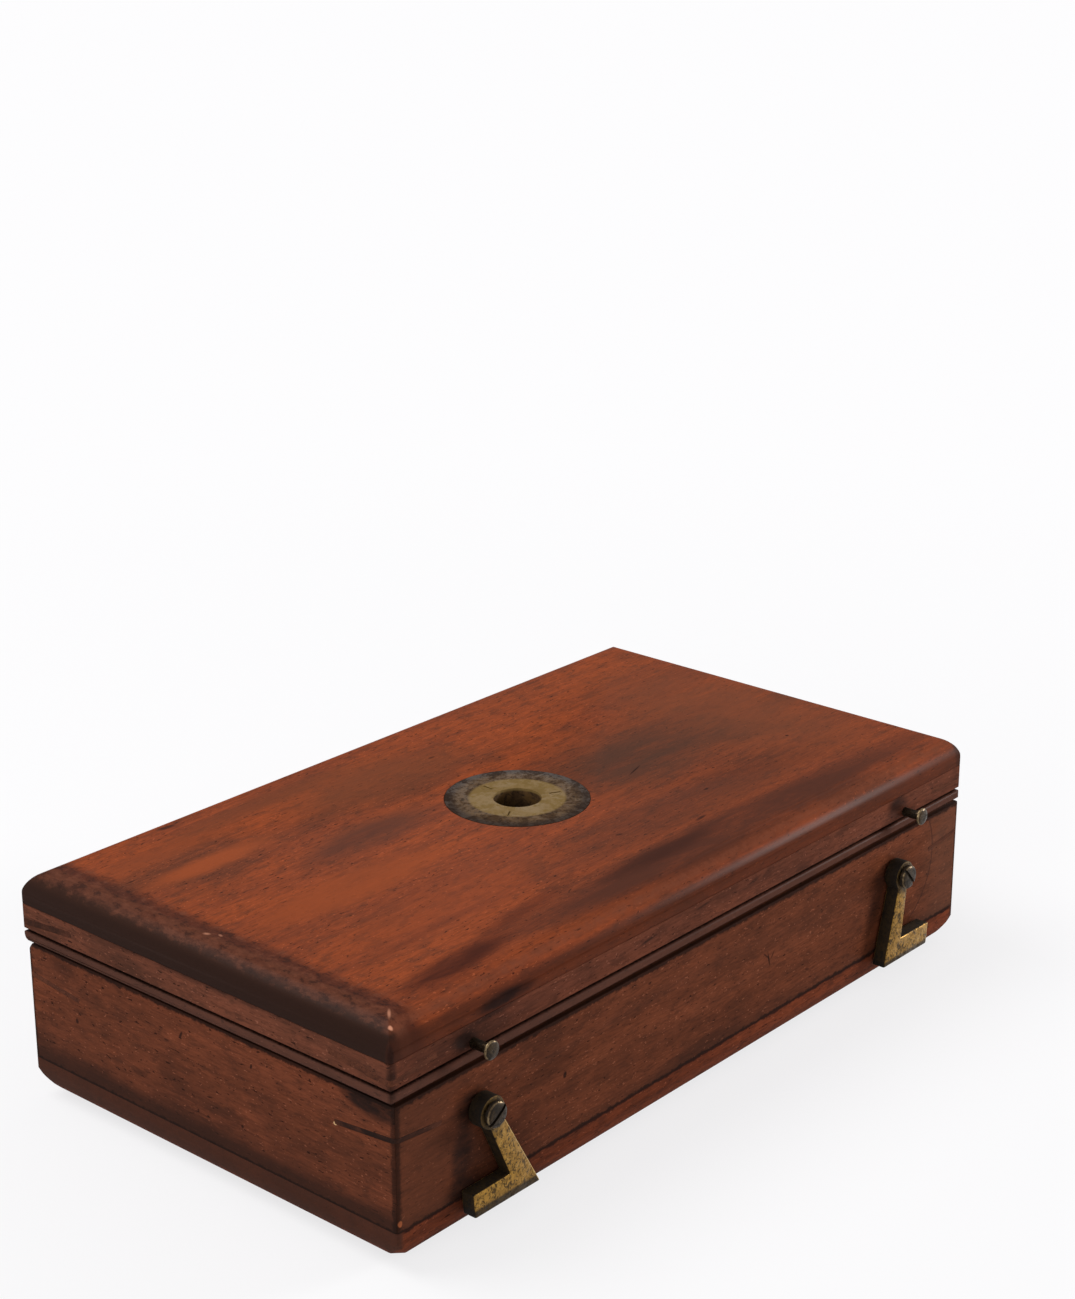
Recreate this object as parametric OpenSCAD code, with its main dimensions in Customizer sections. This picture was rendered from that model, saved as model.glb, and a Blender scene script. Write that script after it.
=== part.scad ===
// Wooden microscope case: mitred mahogany base and hinged lid, two front hooks,
// a brass pillar socket let into the lid, and a velvet-lined tray inside.
// X runs along the length, the hooks face -Y, the hinges are at +Y, and Z is up.
// The origin is the centre of the face that stands on the table.

/* [Case] */
// Length of the base, end to end
case_len = 160; // [159:1:190]
// Depth of the base, front to back
case_dep = 89; // [89:1:110]
// Thickness of the side walls and of the lid's rails
wall_t = 7; // [6.5:0.1:7.5]
// Radius that the upright outside corners are eased to
corner_r = 0.8; // [0.4:0.1:1.5]

/* [Base] */
// Height of the base's rim above the table
base_h = 29.9; // [29:0.1:36]
// Thickness of the bottom board
bottom_t = 7.5; // [6.5:0.1:8.5]
// Radius of the round along the bottom board's edges
bottom_r = 6.4; // [3:0.1:6.4]

/* [Lid] */
// Gap between the base's rim and the lid's rails
lid_gap = 0.6; // [0.4:0.1:0.8]
// Height of the lid's rails
rail_h = 7.1; // [6.8:0.1:10]
// Thickness of the lid board
board_t = 6; // [5.5:0.1:8]
// Radius of the round along the lid board's edges
board_r = 5; // [2:0.1:5.4]
// How far the lid stands past the base's left end
over_left = 0.8; // [0:0.1:1.2]
// How far the lid stands past the base's right end
over_right = 0.2; // [0:0.1:1.2]
// Height of the bead along the lid's lower edge
bead_h = 1.9; // [1.4:0.1:2.2]
// Radius of the bead's two edges
bead_r = 0.7; // [0.3:0.05:0.7]
// Width of the groove above the bead
groove_w = 0.7; // [0.4:0.05:0.8]
// Depth of the groove above the bead
groove_d = 0.9; // [0.5:0.05:1.2]

/* [Corner keys] */
// Thickness of the keys in the base's mitres
base_key_t = 0.9; // [0.6:0.1:1.4]
// Height of the base keys at the corner, below the rim
base_key_drop = 5.9; // [5:0.1:9]
// Thickness of the keys in the lid's mitres
lid_key_t = 1.1; // [0.6:0.1:1.4]
// Height of the lid keys at the corner, above the rails' lower edge
lid_key_rise = 3.7; // [3.4:0.1:4]
// Length of a key along the case's ends
key_end = 13.5; // [10:0.5:14]
// Length of a key along the case's front or back
key_side = 10.5; // [9:0.5:11]
// Slope of the keys, in degrees
key_tilt = 8; // [0:1:9]

/* [Pillar socket] */
// Diameter of the socket plate that is let into the lid
plate_d = 27; // [22:0.5:34]
// Thickness of the plate's flange
plate_t = 1.5; // [1.2:0.1:2.5]
// Diameter of the boss under the flange
boss_d = 11.2; // [10.4:0.1:11.4]
// Diameter of the hole that takes the pillar's screw
thread_d = 9; // [7:0.1:9.2]
// Distance of the plate screws from the socket's axis
plate_screw_r = 7.4; // [7.3:0.1:9]
// Number of plate screws
plate_screws = 3; // [2:1:6]
// How far the socket lies behind the case's centre
socket_back = 1; // [-3:0.5:3]

/* [Hooks] */
// Thickness of a hook
hook_t = 2.8; // [1.6:0.1:3]
// Gap between a hook's back and the wood
hook_gap = 0.3; // [0.2:0.05:0.6]
// Radius of a hook's eye
eye_r = 2.9; // [2.4:0.1:3.4]
// Width of a hook's leg, which catches the stud
leg_w = 4.4; // [3:0.1:4.5]
// How far the left hook's leg reaches past its pivot
left_leg_past = 4.7; // [3:0.1:10]
// How far the right hook's leg reaches past its pivot
right_leg_past = 9.2; // [3:0.1:10]
// Distance of the left hook's pivot from the base's left end
left_inset = 19; // [16:0.5:30]
// Distance of the right hook's pivot from the base's right end
right_inset = 23.2; // [16:0.5:30]
// Angle of the left hook's arm from upright
left_arm_angle = 27; // [10:1:30]
// Angle of the right hook's arm from upright
right_arm_angle = 11; // [10:1:30]
// Width of the left hook's arm at the eye
left_arm_top = 3; // [2.6:0.1:4.6]
// Width of the left hook's arm at the elbow
left_arm_low = 4.6; // [2.6:0.1:5]
// Width of the right hook's arm at the eye
right_arm_top = 2.6; // [2.6:0.1:4.6]
// Width of the right hook's arm at the elbow
right_arm_low = 5; // [2.6:0.1:5.4]
// Diameter of the pivot screws' shoulders
pivot_d = 2.6; // [2:0.1:3]
// Diameter of the pivot screws' heads
pivot_head_d = 4.6; // [3.8:0.1:5.4]
// Thickness of the pivot screws' heads
pivot_head_t = 1.1; // [0.8:0.1:1.6]
// Length of the pivot screws in the wood
pivot_grip = 5.5; // [3:0.5:6]
// Angle of the left pivot screw's slot
left_slot_angle = 35; // [-90:5:90]
// Angle of the right pivot screw's slot
right_slot_angle = -50; // [-90:5:90]

/* [Studs] */
// Distance from a hook's pivot to its stud
stud_reach = 11.9; // [11.5:0.1:13]
// Diameter of a stud's neck
stud_d = 1.8; // [1.4:0.1:2.2]
// Diameter of a stud's head
stud_head_d = 3.3; // [2.8:0.1:4]
// Thickness of a stud's head
stud_head_t = 0.7; // [0.5:0.1:1]
// Height of the studs above the rails' lower edge
stud_rise = 3.5; // [3.5:0.1:4.4]
// How far the left stud lies outside its pivot
left_stud_out = 1.1; // [0:0.1:4]
// How far the right stud lies outside its pivot
right_stud_out = 3.6; // [0:0.1:4]
// Length of a stud in the wood
stud_grip = 5; // [3:0.5:6]

/* [Hinges] */
// Length of a hinge
hinge_len = 22; // [16:1:30]
// Distance of the hinges' centres from the case's ends
hinge_inset = 35; // [28:1:45]
// Diameter of the knuckles
knuckle_d = 4; // [3.4:0.1:4.4]
// Diameter of the hinge pins
hinge_pin_d = 1.6; // [1.2:0.1:2]
// Width of a leaf from the pin's axis
leaf_w = 5.2; // [4.6:0.1:5.2]
// Thickness of a leaf
leaf_t = 0.9; // [0.7:0.1:1.2]
// Distance of the pin's axis inside the case's back face
axis_inset = 1.5; // [1.2:0.1:1.8]
// Angle at which the bevelled back edges stop the lid, in degrees
stop_angle = 106; // [95:1:115]

/* [Tray] */
// Height of the tray's lined top below the base's rim
tray_drop = 1.6; // [1:0.1:3]
// Thickness of the velvet lining
lining_t = 0.8; // [0.5:0.1:1]
// Length of the trough for the pillar
trough_len = 124; // [80:1:126]
// Width of the trough for the pillar
trough_w = 13; // [11:0.5:13]
// Depth of the trough for the pillar
trough_deep = 13; // [10:0.5:15]
// Radius of the finger hollow across the trough
finger_r = 8; // [7:0.5:8]
// Depth of the finger hollow
finger_deep = 8; // [5:0.5:12]
// Diameter of the recess for the stage
stage_d = 45; // [36:0.5:46]
// Depth of the recess for the stage
stage_deep = 6.5; // [5:0.5:9]
// Diameter of the well for the stage's sleeve
sleeve_d = 14; // [10:0.5:15]
// Depth of the well for the stage's sleeve
sleeve_deep = 16; // [10:0.5:17]
// Diameter of the recess for the mirror
mirror_d = 40; // [32:0.5:41]
// Depth of the recess for the mirror
mirror_deep = 14; // [8:0.5:16]
// Diameter of the recess for the lens barrel
lens_d = 23; // [18:0.5:24]
// Depth of the recess for the lens barrel
lens_deep = 17; // [10:0.5:18]
// Diameter of the two recesses for spare lenses
spare_d = 13; // [9:0.5:14]
// Depth of the two recesses for spare lenses
spare_deep = 12; // [8:0.5:16]
// Length of the slot for the forceps
forceps_len = 84; // [60:1:86]
// Width of the slot for the forceps
forceps_w = 5.4; // [4.6:0.1:6]
// Depth of the slot for the forceps
forceps_deep = 9; // [5:0.5:12]

/* [Lid pad] */
// Thickness of the velvet pad
pad_t = 3.4; // [2:0.1:4.5]
// Radius of the round along the pad's edges
pad_r = 1.8; // [1:0.1:1.9]
// Gap between the pad and the rails
pad_gap = 0.8; // [0.5:0.1:2]

/* [Small screws] */
// Diameter of the small countersunk screws' shanks
screw_d = 1.4; // [1.2:0.1:1.6]
// Diameter of the small countersunk screws' heads
screw_head_d = 2.4; // [2.2:0.1:2.6]
// Length of the small countersunk screws
screw_len = 5; // [3:0.5:5.2]

/* [Hidden] */
$fn = 64;

// Past a face, so that a cut leaves no skin behind
past = 1;
// Gap round what is pressed or glued in
fit_gap = 0.02;
// Running gap between a pin and its hole
run_gap = 0.05;
// Gap between parts that swing past each other
swing_gap = 0.25;
// Gap between the closed hook's leg and its stud
catch_gap = 0.2;

// Heights
rail_z = base_h + lid_gap;
board_z = rail_z + rail_h;
lid_top = board_z + board_t;

// The lid, which is longer than the base and shifted to suit
lid_len = case_len + over_left + over_right;
lid_x = (over_right - over_left) / 2;

// Inside of the base and of the lid
in_len = case_len - 2 * wall_t;
in_dep = case_dep - 2 * wall_t;
lid_in_len = lid_len - 2 * wall_t;

// Hinge axis, and the bevels behind it that stop the lid
axis_y = case_dep / 2 - axis_inset;
axis_z = base_h + lid_gap / 2;
hinge_x = case_len / 2 - hinge_inset;
knuckle_gap = 0.2;
third = hinge_len / 3;
// Half of the gap between the two closed leaves
leaf_part = 0.15;
leaf_screw_inset = 3.2;
leaf_screw_x = hinge_len / 2 - leaf_screw_inset;
leaf_screw_y = -(knuckle_d / 2 + leaf_w) / 2;
bevel_reach = 4;

// Hook pivots and studs
left_pivot_x = -case_len / 2 + left_inset;
right_pivot_x = case_len / 2 - right_inset;
stud_z = rail_z + stud_rise;
left_pivot_z = stud_z - sqrt(pow(stud_reach, 2) - pow(left_stud_out, 2));
right_pivot_z = stud_z - sqrt(pow(stud_reach, 2) - pow(right_stud_out, 2));
left_stud_x = left_pivot_x - left_stud_out;
right_stud_x = right_pivot_x + right_stud_out;
// Distance of the leg's inner edge from the pivot
leg_in = stud_reach + stud_d / 2 + catch_gap;
leg_out = leg_in + leg_w;
// Slope of the leg's filed end
leg_end_slope = 0.4;
hook_clear = hook_gap + hook_t + 0.15;
stud_neck = hook_gap + hook_t + 0.5;
slot_w = 0.7;
slot_deep = 0.5;

// Tray heights and the places of its recesses, packed from the left and the front
tray_gap = 0.3;
tray_top = base_h - tray_drop;
tray_edge = 4;
rib = 5;
trough_y = -in_dep / 2 + tray_edge + trough_w / 2;
trough_x = -in_len / 2 + tray_edge + 1 + trough_len / 2;
stage_x = -in_len / 2 + tray_edge + stage_d / 2;
stage_y = trough_y + trough_w / 2 + rib + stage_d / 2;
sleeve_x = stage_x + (stage_d - sleeve_d) / 2 * cos(-35);
sleeve_y = stage_y + (stage_d - sleeve_d) / 2 * sin(-35);
mirror_x = stage_x + stage_d / 2 + rib + mirror_d / 2;
mirror_y = trough_y + trough_w / 2 + rib + mirror_d / 2 + 1;
lens_x = mirror_x + mirror_d / 2 + rib + lens_d / 2;
lens_y = mirror_y;
spare_x = lens_x + lens_d / 2 + 3 + spare_d / 2;
spare_y = [mirror_y - spare_d / 2 - 3, mirror_y + spare_d / 2 + 3];
forceps_y = in_dep / 2 - 2.2 - forceps_w / 2;
forceps_x = in_len / 2 - tray_edge - forceps_len / 2;

WOOD = [0.36, 0.15, 0.08];
DARK_WOOD = [0.24, 0.11, 0.07];
KEY_WOOD = [0.12, 0.08, 0.06];
PINE = [0.62, 0.46, 0.28];
VELVET = [0.12, 0.20, 0.16];
BRASS = [0.62, 0.48, 0.20];
OLD_BRASS = [0.36, 0.30, 0.20];

// Outlines

// Rectangle with rounded corners, from squares and circles
module rounded_rect(len, dep, r) {
    square([len - 2 * r, dep], center = true);
    square([len, dep - 2 * r], center = true);
    for (sx = [-1, 1], sy = [-1, 1])
        translate([sx * (len / 2 - r), sy * (dep / 2 - r)])
            circle(r);
}

// Section of a board with two rounded lower edges, seen from its end
module rounded_section(len, t, r) {
    translate([-len / 2 + r, 0])
        square([len - 2 * r, t]);
    translate([-len / 2, r])
        square([len, t - r]);
    for (s = [-1, 1])
        translate([s * (len / 2 - r), r])
            circle(r);
}

// Board with a round along all four lower edges
module rounded_board(len, dep, t, r) {
    intersection() {
        translate([0, dep / 2, 0])
            rotate([90, 0, 0])
                linear_extrude(dep)
                    rounded_section(len, t, r);
        translate([-len / 2, 0, 0])
            rotate([90, 0, 90])
                linear_extrude(len)
                    rounded_section(dep, t, r);
        linear_extrude(t)
            rounded_rect(len, dep, corner_r);
    }
}

// Mitred frames

// Plan of one mitred side: 0 front, 1 right, 2 back, 3 left
module mitre_plan(side, len, dep) {
    x = len / 2;
    y = dep / 2;
    mid = len / 2 - dep / 2;
    plans = [
        [[-x, -y], [x, -y], [mid, 0], [-mid, 0]],
        [[x, -y], [x, y], [mid, 0]],
        [[x, y], [-x, y], [-mid, 0], [mid, 0]],
        [[-x, y], [-x, -y], [-mid, 0]]
    ];
    polygon(plans[side]);
}

// A straight length of the child section along one side of a frame.
// The section's X is the distance in from the outside, and its Y is the height.
module side_length(side, len, dep) {
    if (side == 0)
        translate([-len / 2, -dep / 2, 0])
            rotate([90, 0, 90])
                linear_extrude(len)
                    children();
    if (side == 1)
        mirror([1, 0, 0])
            side_length(3, len, dep)
                children();
    if (side == 2)
        mirror([0, 1, 0])
            side_length(0, len, dep)
                children();
    if (side == 3)
        translate([-len / 2, dep / 2, 0])
            rotate([90, 0, 0])
                linear_extrude(dep)
                    children();
}

// One mitred side of a frame, of the child section
module mitred_side(side, len, dep, h) {
    intersection() {
        side_length(side, len, dep)
            children();
        linear_extrude(h)
            mitre_plan(side, len, dep);
        linear_extrude(h)
            rounded_rect(len, dep, corner_r);
    }
}

module wall_section() {
    square([wall_t, base_h - bottom_t]);
}

// Lid rail, with a bead along its lower edge and a groove above it
module rail_section() {
    difference() {
        square([wall_t, rail_h]);
        difference() {
            translate([-past, -past])
                square([past + bead_r, past + bead_r]);
            translate([bead_r, bead_r])
                circle(bead_r);
        }
        difference() {
            translate([-past, bead_h - bead_r])
                square([past + bead_r, bead_r]);
            translate([bead_r, bead_h - bead_r])
                circle(bead_r);
        }
        polygon([
            [-past, bead_h], [groove_d, bead_h],
            [0, bead_h + groove_w], [-past, bead_h + groove_w]
        ]);
    }
}

// Corner keys

// Thin wedge across the corner at the origin, which slopes as it leaves it
module key_slip(t, tilt) {
    far_side = key_side * (1 + past / key_end);
    far_end = key_end * (1 + past / key_side);
    rotate(a = tilt, v = [1, -1, 0])
        translate([0, 0, -t / 2])
            linear_extrude(t)
                polygon([[-past, -past], [far_side, -past], [-past, far_end]]);
}

// The same slip at all four corners
module key_slips(len, dep, t, tilt) {
    for (sx = [0, 1], sy = [0, 1])
        mirror([sx, 0, 0])
            mirror([0, sy, 0])
                translate([-len / 2, -dep / 2, 0])
                    key_slip(t, tilt);
}

module base_key_slips() {
    translate([0, 0, base_h - base_key_drop])
        key_slips(case_len, case_dep, base_key_t, -key_tilt);
}

module lid_key_slips() {
    translate([lid_x, 0, rail_z + lid_key_rise])
        key_slips(lid_len, case_dep, lid_key_t, key_tilt);
}

// Slips trimmed flush with the outside of their frame
module trimmed_slips(len, x, z, h) {
    intersection() {
        children();
        translate([x, 0, z])
            linear_extrude(h)
                rounded_rect(len, case_dep, corner_r);
    }
}

// Small screws

// Countersunk screw, head down at the origin's plane and shank towards -Z
module small_screw(clear = 0) {
    head_r = screw_head_d / 2 + clear;
    shank_r = screw_d / 2 + clear;
    cone_t = (screw_head_d - screw_d) / 2;
    rotate_extrude()
        polygon([
            [0, 0], [head_r, 0], [shank_r, -cone_t],
            [shank_r, -screw_len - clear], [0, -screw_len - clear]
        ]);
}

// Slotted screw as fitted
module slotted_screw() {
    difference() {
        small_screw();
        translate([-screw_head_d, -0.2, -0.3])
            cube([2 * screw_head_d, 0.4, 1]);
    }
}

// Hinges

// Moves a child from the hinge axis to one hinge: -1 left, 1 right
module at_hinge(s) {
    translate([s * hinge_x, axis_y, axis_z])
        children();
}

module along_x(len, r) {
    rotate([0, 90, 0])
        cylinder(h = len, r = r, center = true);
}

// Leaf plate under the axis, without its knuckles, which it meets clear of the pin
module leaf_plate(extra = 0) {
    root = hinge_pin_d / 2 + 0.1;
    translate([-hinge_len / 2 - extra, -leaf_w - extra, -leaf_part - leaf_t - extra])
        cube([hinge_len + 2 * extra, leaf_w - root + extra, leaf_t + extra]);
}

module leaf_screw_places() {
    for (s = [-1, 1])
        translate([s * leaf_screw_x, leaf_screw_y, -leaf_part])
            children();
}

// Square notch in a leaf round the other leaf's knuckle
module knuckle_notch() {
    half = third / 2 + knuckle_gap;
    reach = knuckle_d / 2 + swing_gap;
    translate([-half, -reach, -reach])
        cube([2 * half, 2 * reach, 2 * reach]);
}

// Base leaf, with the two outer knuckles
module base_leaf() {
    difference() {
        union() {
            leaf_plate();
            for (s = [-1, 1])
                translate([s * third, 0, 0])
                    along_x(third, knuckle_d / 2);
        }
        knuckle_notch();
        along_x(hinge_len + past, hinge_pin_d / 2 + fit_gap);
        leaf_screw_places()
            small_screw(fit_gap);
    }
}

// Lid leaf, with the middle knuckle
module lid_leaf() {
    difference() {
        union() {
            mirror([0, 0, 1])
                leaf_plate();
            along_x(third, knuckle_d / 2);
        }
        for (s = [-1, 1])
            translate([s * (third + knuckle_gap), 0, 0])
                knuckle_notch();
        along_x(hinge_len + past, hinge_pin_d / 2 + run_gap);
        mirror([0, 0, 1])
            leaf_screw_places()
                small_screw(fit_gap);
    }
}

module hinge_pin() {
    along_x(hinge_len, hinge_pin_d / 2);
}

// What both hinges take out of the base's back wall
module base_hinge_cuts() {
    for (s = [-1, 1])
        at_hinge(s) {
            along_x(hinge_len + 2 * knuckle_gap, knuckle_d / 2 + swing_gap);
            leaf_plate(fit_gap);
            leaf_screw_places()
                small_screw(fit_gap);
        }
}

// What both hinges take out of the lid's back rail
module lid_hinge_cuts() {
    for (s = [-1, 1])
        at_hinge(s) {
            along_x(hinge_len + 2 * knuckle_gap, knuckle_d / 2 + swing_gap);
            mirror([0, 0, 1]) {
                leaf_plate(fit_gap);
                leaf_screw_places()
                    small_screw(fit_gap);
            }
        }
}

// Wedge behind the hinge axis, between level and half of the stop angle below it
module bevel_wedge(len) {
    translate([-len, axis_y, axis_z])
        rotate([90, 0, 90])
            linear_extrude(2 * len)
                polygon([
                    [0, 0], [bevel_reach, 0],
                    [bevel_reach, -bevel_reach * tan(stop_angle / 2)]
                ]);
}

module base_bevel() {
    bevel_wedge(case_len);
}

module lid_bevel() {
    translate([0, 0, 2 * axis_z])
        mirror([0, 0, 1])
            bevel_wedge(case_len);
}

// Hooks, pivots and studs

// Turns the local Z of a round part to face out of the case's front
module on_front(x, z) {
    translate([x, -case_dep / 2, z])
        rotate([90, 0, 0])
            children();
}

// Arm and leg of a hook about its pivot: the arm leans towards +X and the leg points to -X
module hook_outline(lean, top_w, low_w, reach) {
    // Half widths of the arm, measured along X
    top_x = top_w / 2 / cos(lean);
    low_x = low_w / 2 / cos(lean);
    // Where the arm's edges meet the leg's edges
    taper = (low_x - top_x) / leg_out;
    outer_x = leg_out * (tan(lean) + taper) + top_x;
    inner_x = leg_in * (tan(lean) - taper) - top_x;
    polygon([
        [-top_x, 0], [top_x, 0], [outer_x, -leg_out],
        [-reach + leg_end_slope, -leg_out], [-reach, -leg_in], [inner_x, -leg_in]
    ]);
}

module hook(x, z, flip, lean, top_w, low_w, reach) {
    on_front(x, z)
        translate([0, 0, hook_gap])
            difference() {
                union() {
                    cylinder(h = hook_t, r = eye_r);
                    linear_extrude(hook_t)
                        mirror([flip, 0])
                            hook_outline(lean, top_w, low_w, reach);
                }
                translate([0, 0, -past])
                    cylinder(h = hook_t + 2 * past, r = pivot_d / 2 + run_gap);
            }
}

// Shouldered screw that a hook swings on, with a slotted head
module hook_screw(x, z, slot_turn) {
    head_z = hook_clear;
    on_front(x, z)
        difference() {
            union() {
                translate([0, 0, -pivot_grip])
                    cylinder(h = pivot_grip + head_z, r = pivot_d / 2);
                translate([0, 0, head_z])
                    cylinder(h = pivot_head_t, r = pivot_head_d / 2);
            }
            rotate([0, 0, slot_turn])
                translate([-pivot_head_d, -slot_w / 2, head_z + pivot_head_t - slot_deep])
                    cube([2 * pivot_head_d, slot_w, 2 * slot_deep]);
        }
}

module hook_screw_hole(x, z) {
    on_front(x, z)
        translate([0, 0, -pivot_grip - fit_gap])
            cylinder(h = pivot_grip + past, r = pivot_d / 2 + fit_gap);
}

// Headed stud, driven into the lid's front rail
module stud(x) {
    on_front(x, stud_z) {
        translate([0, 0, -stud_grip])
            cylinder(h = stud_grip + stud_neck, r = stud_d / 2);
        translate([0, 0, stud_neck])
            cylinder(h = stud_head_t, r = stud_head_d / 2);
    }
}

module stud_hole(x) {
    on_front(x, stud_z)
        translate([0, 0, -stud_grip - fit_gap])
            cylinder(h = stud_grip + past, r = stud_d / 2 + fit_gap);
}

// Pillar socket

module at_socket() {
    translate([0, socket_back, lid_top])
        children();
}

module socket_screw_places() {
    for (i = [0 : plate_screws - 1])
        rotate([0, 0, 90 + i * 360 / plate_screws])
            translate([plate_screw_r, 0, 0])
                children();
}

// Plate and boss, as solids without the pillar's hole
module socket_body(clear = 0) {
    translate([0, 0, -plate_t - clear])
        cylinder(h = plate_t + clear, r = plate_d / 2 + clear);
    translate([0, 0, -board_t])
        cylinder(h = board_t, r = boss_d / 2 + clear);
}

// Tray

// Upright round recess, grown by g, open at the tray's top
module round_recess(x, y, d, deep, g) {
    translate([x, y, tray_top - deep - g])
        cylinder(h = deep + g + past, r = d / 2 + g);
}

// Slot along X with round ends, grown by g
module slot_recess(x, y, len, w, deep, g) {
    straight = len - w;
    for (s = [-1, 1])
        round_recess(x + s * straight / 2, y, w, deep, g);
    translate([x - straight / 2, y - w / 2 - g, tray_top - deep - g])
        cube([straight, w + 2 * g, deep + g + past]);
}

// Trough with a half-round floor, grown by g
module trough_recess(g) {
    r = trough_w / 2 + g;
    floor_z = tray_top - trough_deep - g;
    translate([trough_x, trough_y, floor_z + r])
        along_x(trough_len + 2 * g, r);
    translate([trough_x - trough_len / 2 - g, trough_y - r, floor_z + r])
        cube([trough_len + 2 * g, 2 * r, tray_top + past - floor_z - r]);
}

module tray_recesses(g) {
    trough_recess(g);
    round_recess(trough_x, trough_y, 2 * finger_r, finger_deep, g);
    round_recess(stage_x, stage_y, stage_d, stage_deep, g);
    round_recess(sleeve_x, sleeve_y, sleeve_d, sleeve_deep, g);
    round_recess(mirror_x, mirror_y, mirror_d, mirror_deep, g);
    round_recess(lens_x, lens_y, lens_d, lens_deep, g);
    for (y = spare_y)
        round_recess(spare_x, y, spare_d, spare_deep, g);
    slot_recess(forceps_x, forceps_y, forceps_len, forceps_w, forceps_deep, g);
}

// Box that fills the inside of the base between two heights
module tray_box(z0, z1) {
    translate([-in_len / 2 + tray_gap, -in_dep / 2 + tray_gap, z0])
        cube([in_len - 2 * tray_gap, in_dep - 2 * tray_gap, z1 - z0]);
}

// Nodes: base

module bottom_board() {
    color(WOOD)
        rounded_board(case_len, case_dep, bottom_t, bottom_r);
}

// One wall of the base before its hardware is let in
module base_wall(side) {
    difference() {
        translate([0, 0, bottom_t])
            mitred_side(side, case_len, case_dep, base_h - bottom_t)
                wall_section();
        base_key_slips();
        base_bevel();
    }
}

module front_wall() {
    color(WOOD)
        difference() {
            base_wall(0);
            hook_screw_hole(left_pivot_x, left_pivot_z);
            hook_screw_hole(right_pivot_x, right_pivot_z);
        }
}

module right_wall() {
    color(DARK_WOOD)
        base_wall(1);
}

module back_wall() {
    color(WOOD)
        difference() {
            base_wall(2);
            base_hinge_cuts();
        }
}

module left_wall() {
    color(DARK_WOOD)
        base_wall(3);
}

module base_corner_keys() {
    color(KEY_WOOD)
        trimmed_slips(case_len, 0, bottom_t, base_h - bottom_t)
            base_key_slips();
}

module tray_block() {
    color(PINE)
        difference() {
            tray_box(bottom_t, tray_top - lining_t);
            tray_recesses(lining_t);
        }
}

module tray_lining() {
    color(VELVET)
        difference() {
            union() {
                tray_box(tray_top - lining_t, tray_top);
                intersection() {
                    tray_recesses(lining_t);
                    tray_box(bottom_t, tray_top - lining_t);
                }
            }
            tray_recesses(0);
        }
}

module left_hinge_base_leaf() {
    color(BRASS)
        at_hinge(-1)
            base_leaf();
}

module right_hinge_base_leaf() {
    color(BRASS)
        at_hinge(1)
            base_leaf();
}

module left_hinge_pin() {
    color(OLD_BRASS)
        at_hinge(-1)
            hinge_pin();
}

module right_hinge_pin() {
    color(OLD_BRASS)
        at_hinge(1)
            hinge_pin();
}

module hinge_base_screws() {
    color(BRASS)
        for (s = [-1, 1])
            at_hinge(s)
                leaf_screw_places()
                    slotted_screw();
}

module left_hook_screw() {
    color(OLD_BRASS)
        hook_screw(left_pivot_x, left_pivot_z, left_slot_angle);
}

module right_hook_screw() {
    color(OLD_BRASS)
        hook_screw(right_pivot_x, right_pivot_z, right_slot_angle);
}

// Nodes: hooks

module left_hook() {
    color(BRASS)
        hook(
            left_pivot_x, left_pivot_z, 0, left_arm_angle,
            left_arm_top, left_arm_low, left_leg_past
        );
}

module right_hook() {
    color(BRASS)
        hook(
            right_pivot_x, right_pivot_z, 1, right_arm_angle,
            right_arm_top, right_arm_low, right_leg_past
        );
}

// Nodes: lid

// One rail of the lid before its hardware is let in
module lid_rail(side) {
    difference() {
        translate([lid_x, 0, rail_z])
            mitred_side(side, lid_len, case_dep, rail_h)
                rail_section();
        lid_key_slips();
        lid_bevel();
    }
}

module lid_front_rail() {
    color(WOOD)
        difference() {
            lid_rail(0);
            stud_hole(left_stud_x);
            stud_hole(right_stud_x);
        }
}

module lid_right_rail() {
    color(DARK_WOOD)
        lid_rail(1);
}

module lid_back_rail() {
    color(WOOD)
        difference() {
            lid_rail(2);
            lid_hinge_cuts();
        }
}

module lid_left_rail() {
    color(DARK_WOOD)
        lid_rail(3);
}

module lid_board() {
    color(WOOD)
        difference() {
            translate([lid_x, 0, lid_top])
                mirror([0, 0, 1])
                    rounded_board(lid_len, case_dep, board_t, board_r);
            at_socket() {
                socket_body(fit_gap);
                translate([0, 0, -board_t - past])
                    cylinder(h = board_t, r = boss_d / 2 + fit_gap);
                socket_screw_places()
                    small_screw(fit_gap);
            }
        }
}

module lid_corner_keys() {
    color(KEY_WOOD)
        trimmed_slips(lid_len, lid_x, rail_z + bead_h + groove_w, rail_h - bead_h - groove_w)
            lid_key_slips();
}

// Padded card with a soft round along its lower edges
module lid_pad() {
    color(VELVET)
        translate([lid_x, 0, board_z - pad_t])
            rounded_board(lid_in_len - 2 * pad_gap, in_dep - 2 * pad_gap, pad_t, pad_r);
}

module socket_plate() {
    color(OLD_BRASS)
        at_socket()
            difference() {
                socket_body();
                translate([0, 0, -board_t - past])
                    cylinder(h = board_t + 2 * past, r = thread_d / 2);
                socket_screw_places()
                    small_screw(fit_gap);
            }
}

module socket_screws() {
    color(OLD_BRASS)
        at_socket()
            socket_screw_places()
                slotted_screw();
}

module left_stud() {
    color(OLD_BRASS)
        stud(left_stud_x);
}

module right_stud() {
    color(OLD_BRASS)
        stud(right_stud_x);
}

module left_hinge_lid_leaf() {
    color(BRASS)
        at_hinge(-1)
            lid_leaf();
}

module right_hinge_lid_leaf() {
    color(BRASS)
        at_hinge(1)
            lid_leaf();
}

module hinge_lid_screws() {
    color(BRASS)
        for (s = [-1, 1])
            at_hinge(s)
                mirror([0, 0, 1])
                    leaf_screw_places()
                        slotted_screw();
}

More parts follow.
